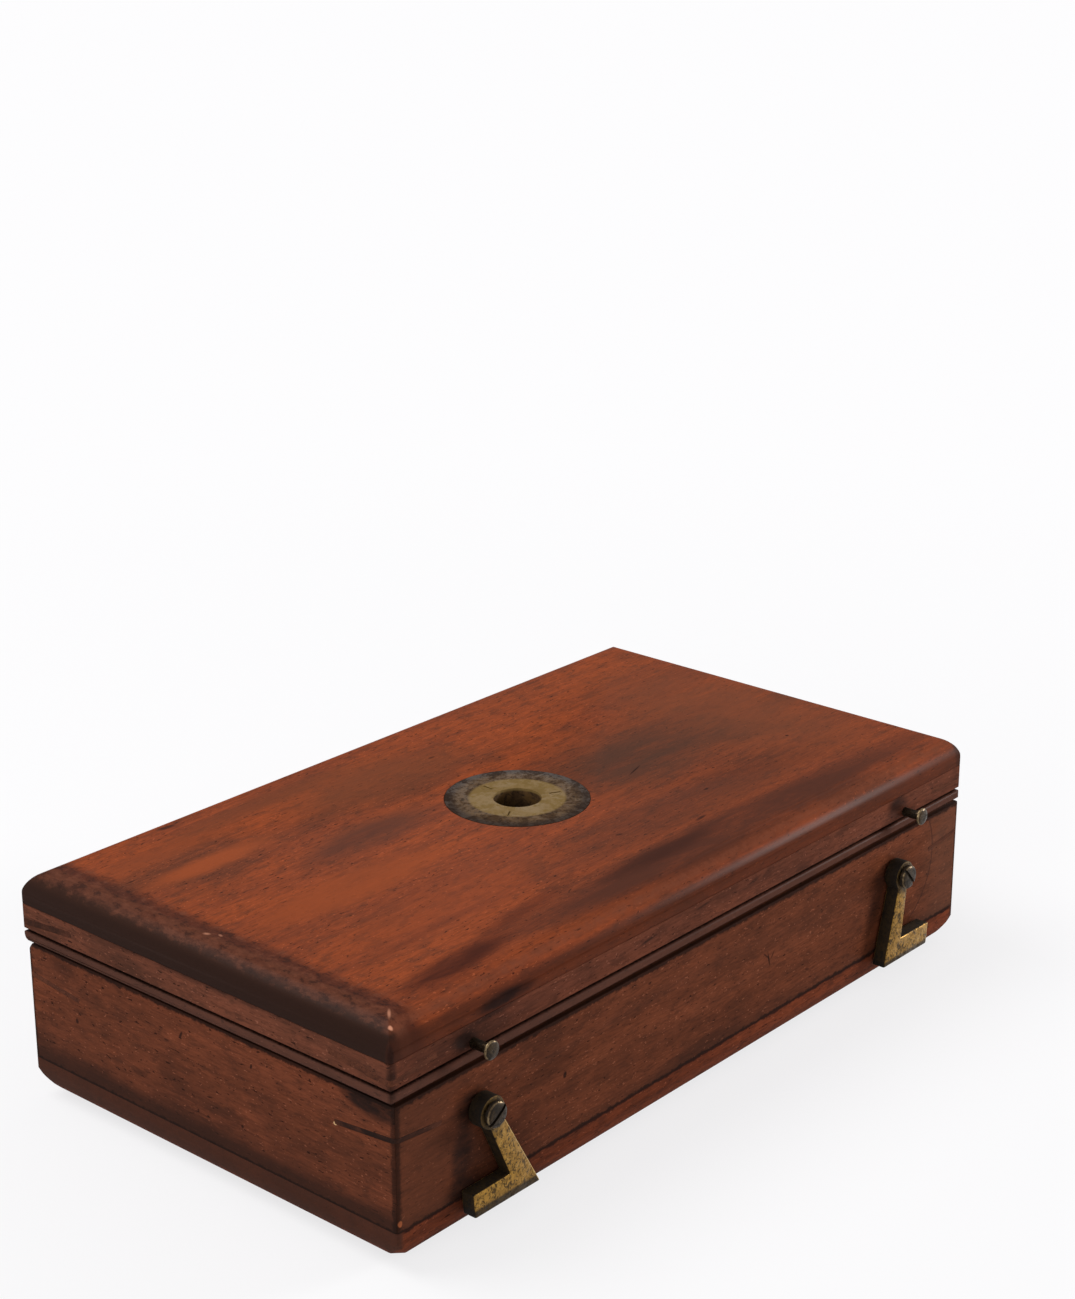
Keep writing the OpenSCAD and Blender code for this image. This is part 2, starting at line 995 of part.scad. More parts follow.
bottom_board();
front_wall();
back_wall();
left_wall();
right_wall();
base_corner_keys();
tray_block();
tray_lining();
lid_front_rail();
lid_back_rail();
lid_left_rail();
lid_right_rail();
lid_board();
lid_corner_keys();
lid_pad();
socket_plate();
socket_screws();
left_hook();
right_hook();
left_hook_screw();
right_hook_screw();
left_stud();
right_stud();
left_hinge_base_leaf();
left_hinge_lid_leaf();
left_hinge_pin();
right_hinge_base_leaf();
right_hinge_lid_leaf();
right_hinge_pin();
hinge_base_screws();
hinge_lid_screws();
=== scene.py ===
# A mahogany case with a hinged lid, two brass hooks on the front and a brass
# socket let into the lid. Metres; the hooks face -Y and the hinges are at +Y.
import math

import bpy
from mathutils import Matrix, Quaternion, Vector


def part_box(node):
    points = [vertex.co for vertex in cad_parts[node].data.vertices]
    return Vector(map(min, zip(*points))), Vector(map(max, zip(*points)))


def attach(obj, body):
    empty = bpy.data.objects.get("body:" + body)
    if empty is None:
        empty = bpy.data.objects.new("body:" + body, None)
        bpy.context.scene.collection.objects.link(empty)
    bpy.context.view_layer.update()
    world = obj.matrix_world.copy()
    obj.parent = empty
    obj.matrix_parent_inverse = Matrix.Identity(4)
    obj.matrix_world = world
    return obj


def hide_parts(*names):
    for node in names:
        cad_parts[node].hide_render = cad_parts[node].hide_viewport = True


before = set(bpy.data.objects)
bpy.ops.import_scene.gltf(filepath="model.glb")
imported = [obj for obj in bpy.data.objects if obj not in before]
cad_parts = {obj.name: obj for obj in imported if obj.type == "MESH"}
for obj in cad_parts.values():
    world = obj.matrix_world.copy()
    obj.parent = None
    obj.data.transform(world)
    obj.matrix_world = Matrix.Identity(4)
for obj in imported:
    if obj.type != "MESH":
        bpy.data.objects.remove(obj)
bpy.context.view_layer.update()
mm = 0.001


# Bottom board
# A board of redder mahogany, glued and pinned under the walls, with a large
# round worked along its lower edges and a chipped line where it meets them.
def node(tree, kind, inputs=None, **settings):
    made = tree.nodes.new(kind)
    for name, value in settings.items():
        setattr(made, name, value)
    for name, value in (inputs or {}).items():
        socket = made.inputs[name]
        if isinstance(value, bpy.types.NodeSocket):
            tree.links.new(value, socket)
        else:
            socket.default_value = value
    return made


def paint(red, green, blue):
    # Display values from 0 to 255, as the linear colour that Blender mixes
    parts = [v / 255 for v in (red, green, blue)]
    return tuple(p / 12.92 if p <= 0.04045 else ((p + 0.055) / 1.055) ** 2.4 for p in parts) + (1.0,)


def toned(shade, by, more=0):
    # The same hue, lighter or darker
    return paint(*[min(255, v * by + more) for v in shade])


def new_finish(name):
    finish = bpy.data.materials.new(name)
    finish.use_nodes = True
    finish.node_tree.nodes.clear()
    where = node(finish.node_tree, "ShaderNodeTexCoord").outputs["Object"]
    return finish, finish.node_tree, where


def stretched(tree, where, sizes, shift=(0, 0, 0)):
    # A pattern whose features are about this many millimetres along each axis
    scale = [1 / (s * mm) for s in sizes]
    return node(tree, "ShaderNodeMapping", {"Vector": where, "Location": shift, "Scale": scale}).outputs[0]


def cloud(tree, vector, detail=2.0, rough=0.5, twist=0.0):
    values = {"Vector": vector, "Scale": 1.0, "Detail": detail, "Roughness": rough, "Distortion": twist}
    return node(tree, "ShaderNodeTexNoise", values).outputs[0]


def fade(tree, value, start, end, low=0.0, high=1.0):
    values = {"Value": value, "From Min": start, "From Max": end, "To Min": low, "To Max": high}
    return node(tree, "ShaderNodeMapRange", values, interpolation_type="SMOOTHSTEP").outputs[0]


def maths(tree, work, a, b=0.0):
    made = node(tree, "ShaderNodeMath", operation=work)
    for socket, value in zip(made.inputs, (a, b)):
        if isinstance(value, bpy.types.NodeSocket):
            tree.links.new(value, socket)
        else:
            socket.default_value = value
    return made.outputs[0]


def times(tree, a, b):
    return maths(tree, "MULTIPLY", a, b)


def axes_of(tree, vector):
    return node(tree, "ShaderNodeSeparateXYZ", {0: vector}).outputs


def tint(tree, amount, under, over, blend="MIX"):
    made = node(tree, "ShaderNodeMix", data_type="RGBA", blend_type=blend, clamp_factor=True)
    for socket, value in ((made.inputs[0], amount), (made.inputs[6], under), (made.inputs[7], over)):
        if isinstance(value, bpy.types.NodeSocket):
            tree.links.new(value, socket)
        else:
            socket.default_value = value
    return made.outputs[2]


def spot(tree, where, centre, reach, turn=(0, 0, 0), soft=0.6):
    # 1 inside an oval patch and 0 outside it; sizes in millimetres, turn in degrees
    values = {
        "Vector": where,
        "Location": [c * mm for c in centre],
        "Rotation": [math.radians(t) for t in turn],
        "Scale": [r * mm for r in reach],
    }
    placed = node(tree, "ShaderNodeMapping", values, vector_type="TEXTURE").outputs[0]
    far = node(tree, "ShaderNodeVectorMath", {0: placed}, operation="LENGTH").outputs["Value"]
    return fade(tree, far, 1.0, 1.0 - soft)


def mahogany(name, along, pale, middle, dark, shift=0.0, wide=5.0, lines=0.3):
    # Old mahogany with its grain along an axis: 0 is X and 1 is Y
    finish, tree, where = new_finish(name)

    def grain(long, across):
        sizes = [across, across, across]
        sizes[along] = long
        return sizes

    figure = cloud(tree, stretched(tree, where, grain(52, wide), (shift, 3.1, 0.7)), 4.0, 0.6, 0.35)
    streak = cloud(tree, stretched(tree, where, grain(30, 2.1), (shift, 1.7, 5.2)), 3.0, 0.65, 0.2)
    fibre = cloud(tree, stretched(tree, where, grain(3.2, 0.42), (shift, 0, 0)), 3.0, 0.7)
    broad = cloud(tree, stretched(tree, where, grain(36, 15), (shift, 9.0, 2.0)), 3.0, 0.55)
    mottle = cloud(tree, stretched(tree, where, grain(4.5, 2.0), (shift, 6.0, 1.0)), 4.0, 0.7)
    colour = tint(tree, fade(tree, figure, 0.34, 0.66), paint(*middle), paint(*pale))
    colour = tint(tree, fade(tree, broad, 0.48, 0.7, 0, 0.7), colour, paint(*dark))
    colour = tint(tree, fade(tree, streak, 0.52, 0.72, 0, lines), colour, paint(*dark))
    colour = tint(tree, fade(tree, streak, 0.44, 0.3, 0, lines), colour, toned(pale, 1.16))
    colour = tint(tree, fade(tree, mottle, 0.5, 0.66, 0, 0.5), colour, paint(*dark))
    colour = tint(tree, fade(tree, mottle, 0.46, 0.3, 0, 0.3), colour, toned(pale, 1.14))
    colour = tint(tree, fade(tree, fibre, 0.44, 0.66, 0, 0.32), colour, toned(dark, 0.62))
    colour = tint(tree, fade(tree, fibre, 0.42, 0.28, 0, 0.28), colour, toned(pale, 1.2))
    pores = cloud(tree, stretched(tree, where, grain(1.5, 0.42), (shift, 4, 4)), 2.0, 0.5)
    pores = fade(tree, pores, 0.655, 0.7)
    colour = tint(tree, times(tree, pores, 0.8), colour, toned(dark, 0.36))
    flecks = cloud(tree, stretched(tree, where, grain(0.85, 0.36), (shift, 8, 1)), 2.0, 0.5)
    flecks = fade(tree, flecks, 0.665, 0.71)
    colour = tint(tree, times(tree, flecks, 0.38), colour, toned(pale, 1.3, 22))
    relief = maths(tree, "SUBTRACT", times(tree, fibre, 0.5), pores)
    return finish, tree, where, colour, relief


def polish(tree, colour, relief, rough, depth=0.06, coat=0.06):
    # Closes a wood finish: worn polish over the colour, with the grain open in it
    where = node(tree, "ShaderNodeTexCoord").outputs["Object"]
    dull = cloud(tree, stretched(tree, where, (9, 9, 9)), 4.0, 0.65)
    rough = fade(tree, dull, 0.3, 0.75, rough * 0.8, min(1.0, rough * 1.35))
    bump = node(tree, "ShaderNodeBump", {"Height": relief, "Strength": 0.6, "Distance": depth * mm})
    values = {
        "Base Color": colour,
        "Roughness": rough,
        "Specular IOR Level": 0.0,
        "Coat Weight": coat,
        "Coat Roughness": 0.34,
        "Normal": bump.outputs[0],
    }
    shader = node(tree, "ShaderNodeBsdfPrincipled", values)
    node(tree, "ShaderNodeOutputMaterial", {"Surface": shader.outputs[0]})


def cleaned(cad_node):
    # The CAD piece as a mesh of its own, with its triangles joined into faces
    piece = bpy.data.objects.new(cad_node + "_worn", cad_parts[cad_node].data.copy())
    bpy.context.scene.collection.objects.link(piece)
    bpy.ops.object.select_all(action="DESELECT")
    piece.select_set(True)
    bpy.context.view_layer.objects.active = piece
    bpy.ops.object.mode_set(mode="EDIT")
    bpy.ops.mesh.select_all(action="SELECT")
    bpy.ops.mesh.remove_doubles(threshold=0.002 * mm)
    bpy.ops.mesh.dissolve_limited(angle_limit=math.radians(0.5))
    bpy.ops.object.mode_set(mode="OBJECT")
    return piece


def eased(cad_node, ease, body, finish, steps=2, piece=None):
    # Rubs the sharp edges down, as use has, and puts the piece in the node's place
    piece = piece or cleaned(cad_node)
    bevel = piece.modifiers.new("ease", "BEVEL")
    bevel.width = ease * mm
    bevel.segments = steps
    bevel.limit_method = "ANGLE"
    bevel.angle_limit = math.radians(35)
    bpy.ops.object.modifier_apply(modifier="ease")
    bpy.ops.object.shade_smooth_by_angle(angle=math.radians(32))
    piece.data.materials.clear()
    piece.data.materials.append(finish)
    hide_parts(cad_node)
    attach(piece, body)


board_finish, tree, where, colour, relief = mahogany(
    "bottom_board_polish", 0, (114, 56, 34), (97, 48, 30), (62, 34, 25), 2.2, wide=3.0
)
axes = axes_of(tree, where)
# The ends are handled and dark, and the long edges rubbed to a redder wood
left_end, right_end = (fade(tree, axes[0], side * 78.2 * mm, side * 79.4 * mm) for side in (-1, 1))
ends = maths(tree, "MAXIMUM", left_end, right_end)
colour = tint(tree, times(tree, ends, 0.85), colour, paint(62, 39, 31))
low = fade(tree, axes[2], 3.0 * mm, 0.6 * mm)
colour = tint(tree, times(tree, low, 0.55), colour, paint(46, 27, 22))
line = cloud(tree, stretched(tree, where, (2.2, 2.2, 30), (0, 0, 3)), 4.0, 0.75)
ragged = maths(tree, "ADD", axes[2], times(tree, maths(tree, "SUBTRACT", line, 0.5), 1.3 * mm))
top_edge = times(tree, fade(tree, ragged, 7.0 * mm, 7.3 * mm), maths(tree, "SUBTRACT", 1.0, ends))
colour = tint(tree, times(tree, top_edge, 0.88), colour, paint(34, 20, 17))
polish(tree, colour, relief, 0.42)
# The four lower corners are knocked round, most at the foot
board = cleaned("bottom_board")
bpy.ops.object.mode_set(mode="EDIT")
for side_x, side_y in ((-1, -1), (-1, 1), (1, -1), (1, 1)):
    for out, up, slope in ((87.0, 4.4, 2.6), (86.0, 3.0, 1.5), (84.0, 1.6, 0.9), (80.6, 0.5, 0.42)):
        toward = Vector((side_x, side_y, 0)).normalized()
        bpy.ops.mesh.select_all(action="SELECT")
        bpy.ops.mesh.bisect(
            plane_co=toward * out * mm + Vector((0, 0, up * mm)),
            plane_no=toward * slope - Vector((0, 0, 1)),
            use_fill=True,
            clear_outer=True,
        )
bpy.ops.object.mode_set(mode="OBJECT")
eased("bottom_board", 0.25, "base", board_finish, piece=board)


# Base walls
# Four mahogany walls, mitred and glued on the board. The hooks' shadows are painted
# on the front wall with some grime, the gap under the lid is painted dark as shade, and black dirt lies in
# the joints and corners.
# The grime colour, also used for the painted shadows of the hooks and studs
grime_and_shadow = paint(33, 23, 20)


def stain(tree, where, colour, patches, shade=grime_and_shadow):
    # Grime and wear, and also painted shadows, in oval patches, broken up by the grain under it
    uneven = fade(tree, cloud(tree, stretched(tree, where, (5, 5, 2.2)), 3.0, 0.6), 0.25, 0.6, 0.55, 1.0)
    for centre, reach, turn, strength, soft in patches:
        amount = times(tree, spot(tree, where, centre, reach, turn, soft), uneven)
        colour = tint(tree, times(tree, amount, strength), colour, shade)
    return colour


def shaded_gap_and_dirty_joints(tree, where, colour, along, ends, face):
    # Painted shade along the gap under the lid, and black dirt along the joint with the board and in the
    # corners
    axes = axes_of(tree, where)
    crumbs = cloud(tree, stretched(tree, where, (1.6, 1.6, 1.6), (2, 0, 3)), 4.0, 0.75)
    shift = times(tree, maths(tree, "SUBTRACT", crumbs, 0.5), 1.6 * mm)
    height = maths(tree, "ADD", axes[2], shift)
    # Painted shade in the gap under the lid, strongest at the outer face
    depth = maths(tree, "ABSOLUTE", axes[1 - along])
    outer = fade(tree, depth, (face - 1.4) * mm, (face - 0.5) * mm, 0.25, 1.0)
    gap = times(tree, outer, fade(tree, height, 29.0 * mm, 29.5 * mm))
    foot = fade(tree, height, 8.2 * mm, 7.7 * mm)
    out = maths(tree, "ADD", maths(tree, "ABSOLUTE", axes[along]), shift)
    corner = fade(tree, out, (ends - 1.3) * mm, (ends - 0.7) * mm, 0, 0.8)
    dirt = maths(tree, "MAXIMUM", maths(tree, "MAXIMUM", gap, foot), corner)
    return tint(tree, times(tree, dirt, 0.86), colour, paint(30, 19, 15))


front_finish, tree, where, colour, relief = mahogany(
    "front_wall_polish", 0, (106, 57, 37), (91, 49, 32), (64, 36, 25), 5.0
)
axes = axes_of(tree, where)
colour = tint(tree, fade(tree, axes[0], -60 * mm, -72 * mm, 0, 0.5), colour, paint(70, 41, 29))
colour = tint(tree, fade(tree, axes[2], 11 * mm, 7.8 * mm, 0, 0.35), colour, paint(62, 36, 26))
colour = tint(tree, fade(tree, axes[0], 64 * mm, 76 * mm, 0, 0.4), colour, paint(94, 62, 48))
# Painted shadows of the hooks on the wall to their left, with some grime among them
colour = stain(
    tree,
    where,
    colour,
    [
        ((-63.0, -44.5, 22.6), (5.0, 3, 4.8), (0, 0, 0), 0.9, 0.7),
        ((-65.0, -44.5, 15.0), (3.4, 3, 8.0), (0, 8, 0), 0.8, 0.7),
        ((-65.0, -44.5, 9.4), (5.4, 3, 3.0), (0, 0, 0), 0.9, 0.7),
        ((52.0, -44.5, 18.5), (3.0, 3, 9.5), (0, 20, 0), 0.6, 0.7),
        ((57.5, -44.5, 13.0), (4.6, 3, 3.6), (0, 0, 0), 0.6, 0.8),
    ],
)
# Small dents: a forked one in the middle, and a round pit nearer the left hook
colour = stain(
    tree,
    where,
    colour,
    [
        ((-39.8, -44.5, 19.0), (0.55, 1, 0.75), (0, 20, 0), 0.95, 0.5),
        ((17.2, -44.5, 18.9), (0.3, 1, 2.3), (0, -14, 0), 0.9, 0.7),
        ((16.4, -44.5, 19.8), (0.25, 1, 1.5), (0, -48, 0), 0.9, 0.7),
        ((18.4, -44.5, 19.4), (0.25, 1, 1.2), (0, 40, 0), 0.8, 0.7),
        ((-6.0, -44.5, 20.4), (0.35, 1, 0.3), (0, 0, 0), 0.85, 0.5),
        ((-17.5, -44.5, 27.3), (0.5, 1, 0.35), (0, 0, 0), 0.8, 0.5),
        ((29.5, -44.5, 12.2), (0.9, 1, 0.3), (0, 15, 0), 0.7, 0.6),
        ((-54.5, -44.5, 24.6), (0.4, 1, 0.3), (0, 0, 0), 0.6, 0.5),
    ],
    paint(28, 17, 14),
)
colour = shaded_gap_and_dirty_joints(tree, where, colour, 0, 80.0, 44.5)
chip = [((-79.3, -44.5, 9.2), (0.5, 1, 0.7), (0, 0, 0), 1.0, 0.4)]
colour = stain(tree, where, colour, chip, paint(150, 84, 52))
# The arc that the right hook's tip has scratched over the years
pivot_x, pivot_z, tip_radius = 56.8, 22.66, 14.2
dx = maths(tree, "SUBTRACT", axes[0], pivot_x * mm)
dz = maths(tree, "SUBTRACT", axes[2], pivot_z * mm)
far = maths(tree, "SQRT", maths(tree, "ADD", times(tree, dx, dx), times(tree, dz, dz)))
off_arc = maths(tree, "ABSOLUTE", maths(tree, "SUBTRACT", far, tip_radius * mm))
ring = fade(tree, off_arc, 0.28 * mm, 0.05 * mm)
swept = times(tree, ring, fade(tree, dx, 5.0 * mm, 9.0 * mm))
colour = tint(tree, times(tree, swept, 0.6), colour, paint(52, 33, 28))
polish(tree, colour, relief, 0.42)
eased("front_wall", 0.3, "base", front_finish)

back_finish, tree, where, colour, relief = mahogany(
    "back_wall_polish", 0, (110, 61, 40), (95, 53, 35), (62, 37, 27), 11.0
)
colour = stain(
    tree,
    where,
    colour,
    [
        ((-45, 44.5, 28.5), (14, 3, 3.2), (0, 0, 0), 0.75, 0.8),
        ((45, 44.5, 28.5), (14, 3, 3.2), (0, 0, 0), 0.75, 0.8),
    ],
)
colour = shaded_gap_and_dirty_joints(tree, where, colour, 0, 80.0, 44.5)
polish(tree, colour, relief, 0.45)
eased("back_wall", 0.3, "base", back_finish)

end_finish, tree, where, colour, relief = mahogany(
    "end_wall_polish", 1, (110, 59, 39), (94, 51, 34), (64, 37, 27), 7.0
)
axes = axes_of(tree, where)
colour = tint(tree, fade(tree, axes[2], 12.5 * mm, 9.0 * mm, 0, 0.85), colour, paint(50, 30, 23))
colour = stain(
    tree,
    where,
    colour,
    [
        ((-80, -38.5, 29.6), (3, 8.5, 3.6), (8, 0, 0), 0.95, 0.4),
        ((-80, 36.0, 27.6), (3, 6.0, 2.4), (-8, 0, 0), 0.55, 0.9),
        ((80, 30.0, 29.5), (3, 16, 2.2), (0, 0, 0), 0.6, 0.9),
    ],
)
colour = stain(
    tree,
    where,
    colour,
    [
        ((-80, 32.0, 18.6), (2, 0.5, 0.6), (0, 0, 0), 0.85, 0.5),
        ((-80, 4.8, 25.4), (2, 0.35, 1.1), (30, 0, 0), 0.85, 0.6),
        ((-80, -12.2, 25.6), (2, 0.35, 0.7), (20, 0, 0), 0.85, 0.6),
        ((-80, 8.5, 23.2), (2, 0.8, 0.3), (0, 0, 0), 0.8, 0.6),
        ((-80, -9.5, 13.6), (2, 0.45, 0.45), (0, 0, 0), 0.85, 0.6),
        ((-80, 0.5, 20.5), (2, 0.7, 0.25), (0, 0, 0), 0.6, 0.6),
    ],
    paint(30, 19, 16),
)
colour = shaded_gap_and_dirty_joints(tree, where, colour, 1, 44.5, 80.0)
colour = stain(
    tree, where, colour, [((-80, -31.3, 22.4), (2, 0.5, 0.35), (0, 0, 0), 1.0, 0.4)], paint(205, 165, 120)
)
polish(tree, colour, relief, 0.45)
for wall in ("left_wall", "right_wall"):
    eased(wall, 0.3, "base", end_finish)


# Corner keys
# Thin slips of mahogany, glued in saw cuts across the mitres and planed flush.
# Most have toned to the walls; the ones at the left end are darker.
key_finish, tree, where, colour, relief = mahogany(
    "key_wood_polish", 0, (92, 53, 38), (80, 46, 34), (58, 35, 27), 3.0, wide=2.0
)
colour = stain(
    tree,
    where,
    colour,
    [
        ((-80, -38.0, 26.0), (4, 10, 6), (0, 0, 0), 0.95, 0.4),
        ((-76, -44.5, 23.0), (6, 4, 6), (0, 0, 0), 0.75, 0.5),
        ((-80, 39.0, 36.0), (4, 8, 6), (0, 0, 0), 0.6, 0.5),
    ],
)
polish(tree, colour, relief, 0.5)
eased("base_corner_keys", 0.05, "base", key_finish, steps=1)


# Tray
# A softwood block cut to the folded instrument, covered with green velvet that
# is glued down into every recess and rolls over the rims.
tray_finish, tree, where, colour, relief = mahogany(
    "tray_softwood", 0, (178, 142, 98), (164, 128, 86), (136, 102, 66), 1.0
)
polish(tree, colour, relief, 0.7, coat=0.0)
eased("tray_block", 0.3, "base", tray_finish)


def velvet(name, deep, lit):
    finish, tree, where = new_finish(name)
    nap = cloud(tree, stretched(tree, where, (6, 6, 6)), 3.0, 0.6, 0.4)
    pile = cloud(tree, stretched(tree, where, (0.22, 0.22, 0.22)), 2.0, 0.7)
    wear = cloud(tree, stretched(tree, where, (16, 16, 16), (4, 2, 0)), 2.0, 0.5)
    colour = tint(tree, fade(tree, nap, 0.35, 0.65), paint(*deep), paint(*lit))
    colour = tint(tree, fade(tree, wear, 0.56, 0.75, 0, 0.45), colour, toned(lit, 1.25, 10))
    colour = tint(tree, fade(tree, pile, 0.35, 0.7, 0, 0.5), colour, toned(deep, 0.6))
    bump = node(tree, "ShaderNodeBump", {"Height": pile, "Strength": 0.5, "Distance": 0.15 * mm})
    values = {
        "Base Color": colour,
        "Roughness": 0.95,
        "Specular IOR Level": 0.15,
        "Sheen Weight": 0.45,
        "Sheen Roughness": 0.45,
        "Normal": bump.outputs[0],
    }
    shader = node(tree, "ShaderNodeBsdfPrincipled", values)
    node(tree, "ShaderNodeOutputMaterial", {"Surface": shader.outputs[0]})
    return finish


green_velvet = velvet("green_velvet", (26, 46, 34), (38, 62, 46))
eased("tray_lining", 0.35, "base", green_velvet, steps=3)


# Lid rails
# The lid's frame: four mitred rails, with a bead and a scratched groove along
# the lower edge. The bead is rubbed grey, the groove is full of dirt, and the bead's foot is painted dark as
# shade in the gap.
def lid_rails(name, along, pale, middle, dark, shift, patches):
    finish, tree, where, colour, relief = mahogany(name, along, pale, middle, dark, shift)
    axes = axes_of(tree, where)
    bead = fade(tree, axes[2], 32.7 * mm, 32.2 * mm)
    colour = tint(tree, times(tree, bead, 0.7), colour, paint(74, 50, 42))
    sizes = [0.9, 0.9, 0.35]
    sizes[along] = 0.5
    scratch = cloud(tree, stretched(tree, where, sizes, (1, 1, 2)), 2.0, 0.7)
    wander = times(tree, maths(tree, "SUBTRACT", scratch, 0.5), 0.35 * mm)
    ragged = maths(tree, "ADD", axes[2], wander)
    dirt = times(tree, fade(tree, ragged, 32.2 * mm, 32.5 * mm), fade(tree, ragged, 33.2 * mm, 32.9 * mm))
    # The bead's foot is painted dark along the outer face, as shade in the gap over the walls
    face = 80.0 if along else 44.5
    depth = maths(tree, "ABSOLUTE", axes[1 - along])
    outer = fade(tree, depth, (face - 1.4) * mm, (face - 0.5) * mm, 0.25, 1.0)
    dirt = maths(tree, "MAXIMUM", dirt, times(tree, outer, fade(tree, ragged, 31.0 * mm, 30.7 * mm)))
    colour = tint(tree, times(tree, dirt, 0.95), colour, paint(20, 12, 10))
    colour = stain(tree, where, colour, patches)
    polish(tree, colour, relief, 0.42)
    return finish


lid_front_finish = lid_rails(
    "lid_front_polish",
    0,
    (102, 57, 41),
    (90, 50, 36),
    (62, 36, 27),
    4.0,
    [
        # The first two patches are painted shadows of the studs' heads; the rest are grime and scratches
        ((-64.3, -44.5, 35.2), (4.0, 3, 2.6), (0, 0, 0), 0.9, 0.7),
        ((57.8, -44.5, 36.0), (4.4, 3, 3.0), (0, 0, 0), 0.85, 0.7),
        ((-57.0, -44.5, 37.5), (9.5, 3, 1.1), (0, -3, 0), 0.7, 0.8),
        ((-80.3, -44.5, 35.0), (1.3, 3, 6.0), (0, 0, 0), 0.85, 0.8),
        ((-18.0, -44.5, 35.6), (3.2, 3, 0.35), (0, -6, 0), 0.8, 0.7),
        ((-3.0, -44.5, 36.6), (2.8, 3, 0.35), (0, -6, 0), 0.7, 0.7),
        ((12.0, -44.5, 36.3), (2.2, 3, 0.5), (0, -10, 0), 0.6, 0.7),
    ],
)
eased("lid_front_rail", 0.2, "lid", lid_front_finish)
lid_back_finish = lid_rails(
    "lid_back_polish",
    0,
    (106, 60, 44),
    (93, 53, 38),
    (64, 37, 28),
    14.0,
    [
        ((-45, 44.5, 31.5), (14, 3, 2.4), (0, 0, 0), 0.7, 0.8),
        ((45, 44.5, 31.5), (14, 3, 2.4), (0, 0, 0), 0.7, 0.8),
    ],
)
eased("lid_back_rail", 0.2, "lid", lid_back_finish)
lid_end_finish = lid_rails(
    "lid_end_polish",
    1,
    (110, 63, 46),
    (97, 56, 41),
    (68, 42, 32),
    9.0,
    [
        ((-80.5, -44.4, 35.0), (3, 1.2, 6.0), (0, 0, 0), 0.8, 0.8),
        ((-80.5, 0, 38.2), (3, 52, 1.9), (0, 0, 0), 0.85, 0.9),
        ((80.3, 0, 38.2), (3, 52, 1.9), (0, 0, 0), 0.7, 0.9),
    ],
)
for rail in ("lid_left_rail", "lid_right_rail"):
    eased(rail, 0.2, "lid", lid_end_finish)


# Lid board
# The show wood of the case: figured mahogany, French polished, rounded over on
# all four edges. The end rounds are dark end grain, all the rounds are painted dark on their lower halves as
# shade, and a pink painted highlight runs along their tops, where the polish is also rubbed.
lid_finish, tree, where, colour, relief = mahogany(
    "lid_board_polish", 0, (143, 68, 36), (124, 60, 36), (84, 48, 34), 0.0, wide=6.5
)
axes = axes_of(tree, where)
drift = cloud(tree, stretched(tree, where, (26, 5, 9), (2, 6, 0)), 4.0, 0.65, 0.3)
# Bands of figure across the top. The dark patches near the front at x -58 and -36 are a painted shadow and
# reflection, and the one at x -2 a painted reflection
for centre, reach, turn, strength, soft, shade in (
    ((-45, -20, 43), (34, 10, 8), 0, 0.5, 0.8, (128, 61, 35)),
    ((-12, 26, 43), (30, 13, 8), 0, 0.75, 0.8, (106, 59, 38)),
    ((62, 0, 43), (26, 46, 8), 0, 0.7, 0.8, (112, 63, 42)),
    ((-57, 22, 43), (20, 4.2, 8), 0, 0.8, 0.7, (150, 72, 37)),
    ((-60, 31.5, 43), (24, 4, 8), 0, 0.65, 0.7, (126, 62, 35)),
    ((-32, 35, 43), (32, 4, 8), 1, 0.8, 0.7, (106, 57, 36)),
    ((-30, 10, 43), (22, 7, 8), 2, 0.9, 0.7, (92, 51, 36)),
    ((-32, 10, 43), (15, 3.0, 8), 3, 0.6, 0.8, (80, 45, 34)),
    ((-48, -3.5, 43), (29, 7, 8), 0, 0.8, 0.6, (140, 67, 35)),
    ((32, -3, 43), (36, 21, 8), 3, 0.85, 0.85, (74, 50, 39)),
    ((22, -25, 43), (56, 11, 8), -2, 0.7, 0.8, (82, 46, 32)),
    ((14, -37.5, 43), (80, 8, 8), 0, 0.95, 0.6, (76, 41, 29)),
    ((-2, -34.5, 43), (24, 3.6, 8), 0, 0.8, 0.8, (58, 29, 20)),
    ((-58, -36.8, 43), (19, 4.2, 8), 4, 1.0, 0.7, (66, 29, 18)),
    ((-36, -31.8, 43), (22, 2.8, 8), 8, 0.7, 0.9, (78, 37, 24)),
    ((-55, -25.5, 43), (22, 1.4, 8), 2, 0.45, 0.8, (90, 44, 29)),
):
    amount = spot(tree, where, centre, reach, (0, 0, turn), soft)
    amount = times(tree, amount, fade(tree, drift, 0.3, 0.55, 0.65, 1.0))
    colour = tint(tree, times(tree, amount, strength), colour, paint(*shade))
# The left end: a purple band inside the edge, a rubbed line with a painted highlight on it, and dark end
# grain with painted shade on the round's lower half
rubbed = cloud(tree, stretched(tree, where, (1.6, 3.4, 1.6), (5, 5, 5)), 5.0, 0.75)
wander = times(tree, maths(tree, "SUBTRACT", rubbed, 0.5), 2.4 * mm)
along = maths(tree, "ADD", axes[0], wander)
inner = times(tree, fade(tree, along, -71.5 * mm, -75.0 * mm), 0.85)
colour = tint(tree, inner, colour, paint(66, 34, 25))
rubbed_highlight_end = times(tree, fade(tree, along, -75.4 * mm, -76.6 * mm), fade(tree, rubbed, 0.3, 0.6, 0.3, 0.8))
colour = tint(tree, rubbed_highlight_end, colour, paint(96, 56, 41))
left_side = fade(tree, along, -77.6 * mm, -79.6 * mm)
sides = maths(tree, "MAXIMUM", left_side, fade(tree, axes[0], 77.6 * mm, 79.4 * mm))
colour = tint(tree, times(tree, sides, 0.9), colour, paint(46, 29, 22))
shaded_round_end = times(tree, sides, fade(tree, axes[2], 42.4 * mm, 40.8 * mm))
